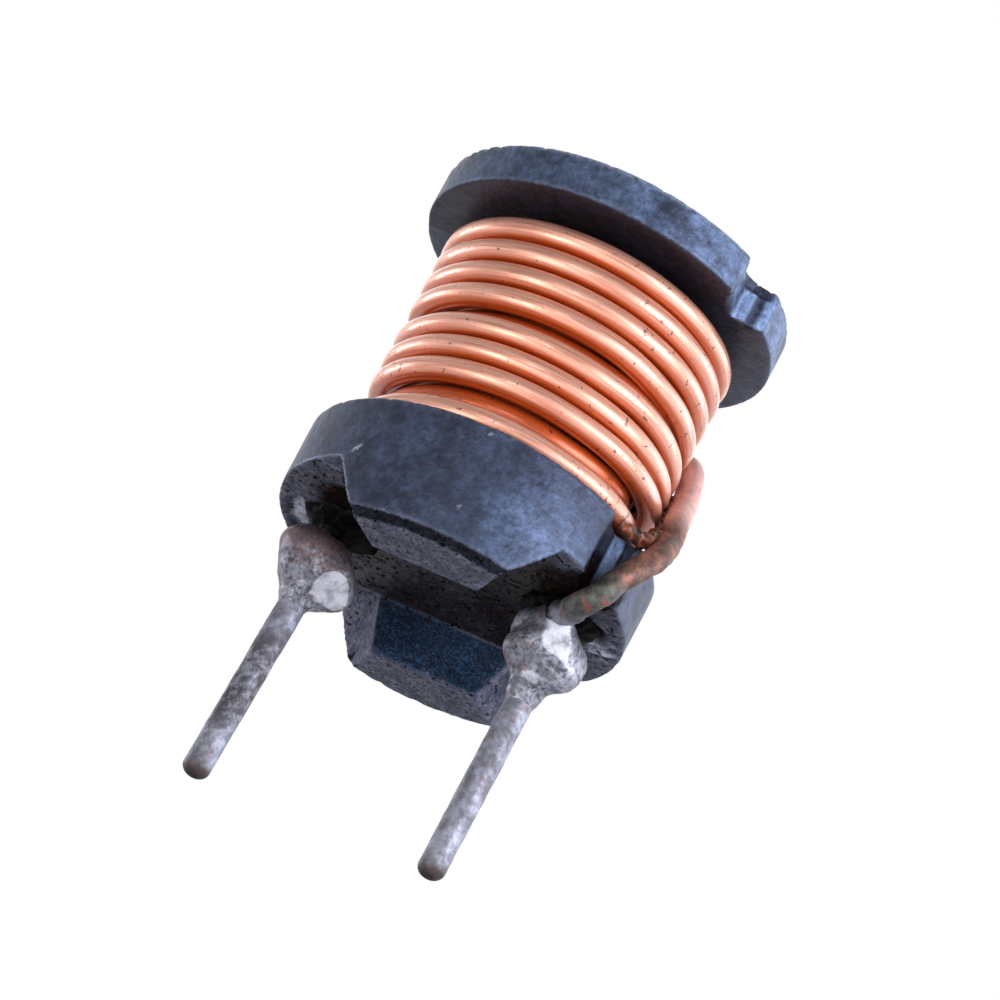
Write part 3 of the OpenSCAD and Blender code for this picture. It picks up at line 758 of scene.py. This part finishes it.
# Painted reflection and shade: the lower sides of the turns, a strip of their upper sides, and the whole of
# the inner layers get the deep orange.
under = np.where(ring[:, 2] < 0, ramp(outward, 0.90, 0.66), ramp(outward, 0.60, 0.40))
layer(wire_mesh, "crevice_reflection", np.maximum(under, inside) * (1 - np.repeat(stripped, ROUND)))
layer(wire_mesh, "dirty", dirty)
layer(wire_mesh, "grime_and_shade", grime_and_shade)
layer(wire_mesh, "upward", ring[:, 2])

# Drawn copper under clear enamel: soft metal streaks below a sharp clear highlight. Wherever two turns face
# each other a deep orange is painted: a painted reflection of one turn in the next, and painted shade between
# them.
DUST, SCALD, RED_SPOT, ROUGHNESS = 0.12195, 0.38462, 0.27778, 0.11111
STREAK, DIE_LINE = (1.66667, 0.086394), (1.11111, 0.028798)   # length and width of each
QUARTER = math.pi * WIRE_R / 2        # upward goes from 0 to 1 over a quarter of the girth
copper, tree = paintable("enamelled_copper")
spot = add(tree, "TexCoord").outputs["Object"]
mask = {name: add(tree, "Attribute", {"attribute_name": name}).outputs["Fac"]
        for name in ("stripped", "bare", "tinned", "merged", "crevice_reflection", "dirty", "grime_and_shade", "along", "upward")}
# Drawing and winding leave streaks along the wire.
length = add(tree, "Math", TIMES, i0=mask["along"], i1=1 / STREAK[0])
girth = add(tree, "Math", TIMES, i0=mask["upward"], i1=QUARTER / STREAK[1])
drawn = add(tree, "CombineXYZ", X=length.outputs[0], Y=girth.outputs[0])
streak = add(tree, "TexNoise", Vector=drawn.outputs[0], Scale=1.0, Detail=4, Roughness=0.6)
tone = add(tree, "ValToRGB", {"stops": ((0.35, "#cc876e"), (0.65, "#ebb29b"))}, Fac=streak.outputs["Fac"])
# The deep orange of the crevices: painted reflection and painted shade.
tone = add(tree, "Mix", RGBA, i0=mask["crevice_reflection"], i6=tone.outputs["Color"], i7=linear("#ba521d"))
dust = add(tree, "TexNoise", Vector=spot, Scale=1 / (DUST * MM), Detail=2, Roughness=0.5)
dust = add(tree, "Math", TIMES_PLUS, i0=mask["dirty"], i1=0.09, i2=dust.outputs["Fac"])
speck = add(tree, "MapRange", Value=dust.outputs[0], From_Min=0.69, From_Max=0.74, To_Min=0.0, To_Max=0.85)
tone = add(tree, "Mix", RGBA, i0=speck.outputs[0], i6=tone.outputs["Result"], i7=linear("#5a3226"))
# Grime, and painted shade on the inner layers.
tone = add(tree, "Mix", RGBA, i0=mask["grime_and_shade"], i6=tone.outputs["Result"], i7=linear("#7a2c12"))
# Heat has burnt the enamel off the lead: matt pinkish copper, brown scale, then tin.
patch = add(tree, "TexNoise", Vector=spot, Scale=1 / (SCALD * MM), Detail=6, Roughness=0.75)
pink, burnt, grey, silver = (
    add(tree, "ValToRGB", {"stops": stops}, Fac=patch.outputs["Fac"]).outputs["Color"]
    for stops in (((0.36, "#c49a98"), (0.62, "#e0b4a8")), ((0.40, "#3a3235"), (0.62, "#9c6d59")),
                  ((0.40, "#2e2e2b"), (0.62, "#5d5e59")), ((0.38, "#45434a"), (0.64, "#878994"))))
tone = add(tree, "Mix", RGBA, i0=mask["stripped"], i6=tone.outputs["Result"], i7=pink)
early = add(tree, "Math", TIMES_PLUS, i0=patch.outputs["Fac"], i1=0.8, i2=-0.4)
early = add(tree, "Math", {"operation": "ADD", "use_clamp": True}, i0=early.outputs[0], i1=mask["bare"])
early = add(tree, "Math", TIMES, i0=early.outputs[0], i1=mask["bare"])
tone = add(tree, "Mix", RGBA, i0=early.outputs[0], i6=tone.outputs["Result"], i7=burnt)
spots = add(tree, "TexNoise", Vector=spot, Scale=1 / (RED_SPOT * MM), Detail=2, Roughness=0.5)
spots = add(tree, "MapRange", Value=spots.outputs["Fac"], From_Min=0.60, From_Max=0.68,
            To_Min=0.0, To_Max=0.7)
grey = add(tree, "Mix", RGBA, i0=spots.outputs[0], i6=grey, i7=linear("#8a4a42"))
late = add(tree, "Math", TIMES_PLUS, i0=streak.outputs["Fac"], i1=1.2, i2=-0.6)
late = add(tree, "Math", {"operation": "ADD", "use_clamp": True}, i0=late.outputs[0], i1=mask["tinned"])
late = add(tree, "Math", {"operation": "MULTIPLY", "use_clamp": True}, i0=late.outputs[0],
           i1=mask["tinned"])
tone = add(tree, "Mix", RGBA, i0=late.outputs[0], i6=tone.outputs["Result"], i7=grey.outputs["Result"])
tone = add(tree, "Mix", RGBA, i0=mask["merged"], i6=tone.outputs["Result"], i7=silver)
gloss = add(tree, "MapRange", Value=streak.outputs["Fac"], From_Min=0.3, From_Max=0.7,
            To_Min=0.30, To_Max=0.44)
gloss = add(tree, "Math", TIMES_PLUS, i0=mask["dirty"], i1=0.12, i2=gloss.outputs[0])
dull = add(tree, "Mix", {"data_type": "FLOAT"}, i0=mask["stripped"], i2=gloss.outputs[0], i3=0.55)
coat = add(tree, "Math", TIMES_PLUS, i0=mask["stripped"], i1=-0.9, i2=0.9)
rough = add(tree, "TexNoise", Vector=spot, Scale=1 / (ROUGHNESS * MM), Detail=3, Roughness=0.6)
bumpy = add(tree, "Math", TIMES_PLUS, i0=mask["bare"], i1=0.4, i2=0.16)
bumps = add(tree, "Bump", Strength=bumpy.outputs[0], Distance=0.02 * MM, Height=rough.outputs["Fac"])
# Die lines, about 0.03 mm apart, which break a highlight into threads.
length = add(tree, "Math", TIMES, i0=mask["along"], i1=1 / DIE_LINE[0])
girth = add(tree, "Math", TIMES, i0=mask["upward"], i1=QUARTER / DIE_LINE[1])
drawn = add(tree, "CombineXYZ", X=length.outputs[0], Y=girth.outputs[0])
lines = add(tree, "TexNoise", Vector=drawn.outputs[0], Scale=1.0, Detail=3, Roughness=0.6)
bumps = add(tree, "Bump", Strength=0.28, Distance=0.012 * MM, Height=lines.outputs["Fac"],
            Normal=bumps.outputs[0])
shade = add(tree, "BsdfPrincipled", Base_Color=tone.outputs["Result"], Metallic=0.7,
            Roughness=dull.outputs[0], Coat_Weight=coat.outputs[0], Coat_Roughness=0.08, Coat_IOR=1.55,
            Normal=bumps.outputs[0], Coat_Normal=bumps.outputs[0])
add(tree, "OutputMaterial", Surface=shade.outputs[0])
finish_piece("wire_enamelled_copper", wire_mesh, copper, "winding_wire")

# Scorched enamel has crumbled off and clogs the corner between the turns and the lead.
# Burnt enamel is a brown-black resin with amber chips in it, and glossy where it broke.
CRUMB_R, CHIP_SIZE = 0.17, 0.16667
string = np.array(curve([at(20, 3.36, 5.4), at(16, 3.37, 5.2), at(12, 3.38, 4.95), at(6, 3.43, 4.5),
                         at(0, 3.50, 4.1), at(-6, 3.56, 3.75), at(-12, 3.64, 3.4), at(-18, 3.74, 3.12),
                         at(-24, 3.82, 2.9), at(-29, 3.80, 2.8), at(-34, 3.66, 2.82),
                         at(-37, 3.6, 2.85)], 14))
ahead = directions(string)
across = np.cross(ahead, (0.3, 0.2, 0.93))
across /= np.linalg.norm(across, axis=1, keepdims=True)
ring = spokes(ahead, across)
girth = CRUMB_R * np.sin(np.linspace(0.25, math.pi - 0.25, len(string))) ** 0.4
verts = np.repeat(string, ROUND, axis=0) + ring * np.repeat(girth, ROUND)[:, None]
verts += ring * (0.08 * grain(verts, 0.16, 61) + 0.05 * grain(verts, 0.07, 62))[:, None]
varnish, tree = paintable("scorched_enamel")
spot = add(tree, "TexCoord").outputs["Object"]
blotch = add(tree, "TexNoise", Vector=spot, Scale=1 / (CHIP_SIZE * MM), Detail=3, Roughness=0.6)
tone = add(tree, "ValToRGB", {"stops": ((0.40, "#220b07"), (0.66, "#84401f"))}, Fac=blotch.outputs["Fac"])
bumps = add(tree, "Bump", Strength=0.5, Distance=0.02 * MM, Height=blotch.outputs["Fac"])
shade = add(tree, "BsdfPrincipled", Base_Color=tone.outputs["Color"], Roughness=0.4, IOR=1.55,
            Normal=bumps.outputs[0])
add(tree, "OutputMaterial", Surface=shade.outputs[0])
finish_piece("enamel_crumbs", skin("crumbs", verts), varnish, "winding_wire", replaces=False)

# ---------------------------------------------------------------- solder
# Tin solder flowed over each wrap and froze as a dull lump that runs down the pin in a cone: mottled grey,
# with one flat face where it cooled last, painted pale as clean tin under a painted highlight.
CONE_LOW = -0.92                      # height of the cone's lower end
# Directions across a joint: to the right of the lens, and towards it.
ASIDE = np.array([math.cos(math.radians(12)), math.sin(math.radians(12)), 0])
FORE = np.array([math.sin(math.radians(12)), -math.cos(math.radians(12)), 0])


def in_joint(aside, fore, rise):
    """A place or direction in a joint, from its parts aside, to the fore and up."""
    return aside * ASIDE + fore * FORE + np.array([0, 0, rise])


def solder_field(p, x0, path, thin, cone, blobs, face, reach):
    """Below zero inside a joint: a cone on the pin, a skin on the wire, blobs and a flat face."""
    x = p[:, 0] - x0 - (np.minimum(p[:, 2] - BEND, 0) * math.tan(math.radians(2)) if x0 < 0 else 0)
    q = np.stack([x, p[:, 1], p[:, 2]], 1)
    r = np.hypot(x, p[:, 1])
    heights, radii = zip(*cone)
    body = np.maximum((r - np.interp(q[:, 2], heights, radii)) * 0.85,
                      np.maximum(q[:, 2] - heights[-1], heights[0] - q[:, 2]))
    wire = (np.linalg.norm(q[:, None] - path[None], axis=2) - thin[None]).min(1)
    body = -smooth_max(-body, -wire, 0.30)
    for centre, size in blobs:
        body = -smooth_max(-body, -(np.linalg.norm(q - in_joint(*centre), axis=1) - size), 0.22)
    body = smooth_max(body, q @ face - reach, 0.03)
    pin = np.maximum(r - np.interp(q[:, 2], (CONE_LOW, -0.6), (0.285, 0.325)), CONE_LOW - q[:, 2])
    body = -smooth_max(-body, -pin, 0.16 * ramp(q[:, 2], -0.9, -0.6) + 0.002)
    return np.minimum(body, wire + 0.02)


# Frozen tin with soot and stains on it: half metal, so highlights are soft and grey. It is darker towards the
# top and on the right joint's left side, and its flat face is paler: clean tin with a painted highlight.
LUMP, CRYSTAL, RUST = 0.38462, 0.09091, 0.58824
solder, tree = paintable("tin_solder")
spot = add(tree, "TexCoord").outputs["Object"]
flat = add(tree, "Attribute", {"attribute_name": "flat"}).outputs["Fac"]
darkening = add(tree, "Attribute", {"attribute_name": "darkening"}).outputs["Fac"]
blotch = add(tree, "TexNoise", Vector=spot, Scale=1 / (LUMP * MM), Detail=6, Roughness=0.7)
fine = add(tree, "TexNoise", Vector=spot, Scale=1 / (CRYSTAL * MM), Detail=3, Roughness=0.6)
both = add(tree, "Math", TIMES_PLUS, i0=fine.outputs["Fac"], i1=0.7, i2=blotch.outputs["Fac"])
tone = add(tree, "ValToRGB", {"stops": ((0.66, "#3e3c43"), (1.0, "#9a9ca8"))}, Fac=both.outputs[0])
# Darker where the darkening share is high: towards the top, and on the right joint's left side.
dim = add(tree, "Math", TIMES, i0=darkening, i1=0.50)
tone = add(tree, "Mix", RGBA, i0=dim.outputs[0], i6=tone.outputs["Color"], i7=linear("#38363c"))
black = add(tree, "MapRange", Value=fine.outputs["Fac"], From_Min=0.47, From_Max=0.36,
            To_Min=0.0, To_Max=1.0)
soot = add(tree, "Math", {"operation": "MULTIPLY_ADD", "use_clamp": True}, i0=darkening, i1=0.5, i2=0.2)
soot = add(tree, "Math", TIMES, i0=soot.outputs[0], i1=black.outputs[0])
tone = add(tree, "Mix", RGBA, i0=soot.outputs[0], i6=tone.outputs["Result"], i7=linear("#2c2a2e"))
rust = add(tree, "TexNoise", Vector=spot, Scale=1 / (RUST * MM), Detail=4, Roughness=0.7)
stain = add(tree, "Math", TIMES_PLUS, i0=darkening, i1=0.22, i2=rust.outputs["Fac"])
stain = add(tree, "MapRange", Value=stain.outputs[0], From_Min=0.62, From_Max=0.74, To_Min=0.0, To_Max=0.55)
tone = add(tree, "Mix", RGBA, i0=stain.outputs[0], i6=tone.outputs["Result"], i7=linear("#624548"))
# Clean tin and a painted highlight on the flat face.
clean_tin_and_highlight = add(tree, "MapRange", Value=blotch.outputs["Fac"], From_Min=0.38, From_Max=0.58,
            To_Min=0.35, To_Max=1.0)
clean_tin_and_highlight = add(tree, "Math", TIMES, i0=flat, i1=clean_tin_and_highlight.outputs[0])
tone = add(tree, "Mix", RGBA, i0=clean_tin_and_highlight.outputs[0], i6=tone.outputs["Result"], i7=linear("#c3c4ce"))
dull = add(tree, "MapRange", Value=blotch.outputs["Fac"], From_Min=0.35, From_Max=0.7,
           To_Min=0.58, To_Max=0.36)
bumps = add(tree, "Bump", Strength=0.6, Distance=0.02 * MM, Height=fine.outputs["Fac"])
shade = add(tree, "BsdfPrincipled", Base_Color=tone.outputs["Result"], Metallic=0.6,
            Roughness=dull.outputs[0], Normal=bumps.outputs[0])
add(tree, "OutputMaterial", Surface=shade.outputs[0])

# For each joint: its wire, the cone's heights and radii, the blobs' places and radii, and the way the flat
# face looks, how far out it lies and how strong its painted highlight is.
JOINTS = (
    (-1, "solder_left", start[:110:3],
     ((CONE_LOW, 0.285), (-0.76, 0.31), (-0.5, 0.44), (-0.2, 0.64), (0.1, 0.76), (0.5, 0.72), (0.72, 0.55)),
     (((0.62, 0.05, -0.16), 0.38), ((0.38, 0.42, -0.08), 0.42)), (0.42, 0.55, -0.72), 0.69, 1.0),
    (1, "solder_right", finish[-118::3],
     ((CONE_LOW, 0.285), (-0.66, 0.32), (-0.4, 0.39), (-0.1, 0.55), (0.1, 0.66), (0.5, 0.66), (0.78, 0.5)),
     (((0.0, 0.50, 0.54), 0.52), ((0.44, 0.34, 0.08), 0.44)), (0.12, 0.97, -0.15), 0.85, 1.25))
for side, name, run, cone, blobs, face, reach, highlight_share in JOINTS:
    x0 = side * PIN_X
    path = np.array(run) - (x0, 0, 0)
    face = in_joint(*face)
    face = face / np.linalg.norm(face)
    away = np.hypot(path[:, 0], path[:, 1])
    thin = WIRE_R + 0.04 - 0.10 * ramp(away, 0.75, 1.35)
    profile = [(0.3 + 0.75 * math.sin(math.pi * min(1, max(0, t))) ** 0.5, -0.88 + 2.1 * t)
               for t in np.linspace(0, 1, 70)]
    mesh = turned(profile, 112)
    mesh.transform(Matrix.Translation((x0, 0, 0)))
    p, out = settle(mesh, lambda q: solder_field(q, x0, path, thin, cone, blobs, face, reach), 14, 0.09)
    facing = ramp(out @ face, 0.985, 0.999)
    facing *= ramp(np.abs((p - (x0, 0, 0)) @ face - reach), 0.06, 0.02)
    lump = 0.014 * grain(p, 0.35, 21 + side) + 0.008 * grain(p, 0.12, 23 + side)
    lump *= (1 - facing) * ramp(p[:, 2], -0.9, -0.7)
    mesh.vertices.foreach_set("co", (p + out * lump[:, None]).ravel())
    # The flat face's paint: clean tin and a painted highlight.
    layer(mesh, "flat", facing * ramp(grain(p, 0.45, 27 + side), -0.55, -0.1) * highlight_share)
    # The darkening share: towards the top of each joint, and on the right joint's left side.
    if side < 0:
        darkening = 0.62 + 0.7 * ramp(p[:, 2], -0.3, 0.6)
    else:
        darkening = np.maximum(0.5 * ramp(p[:, 2], 0.2, 0.8), 0.6 * ramp((p - (x0, 0, 0)) @ ASIDE, 0.1, -0.5))
    layer(mesh, "darkening", darkening)
    finish_piece(name + "_lump", mesh, solder, name)
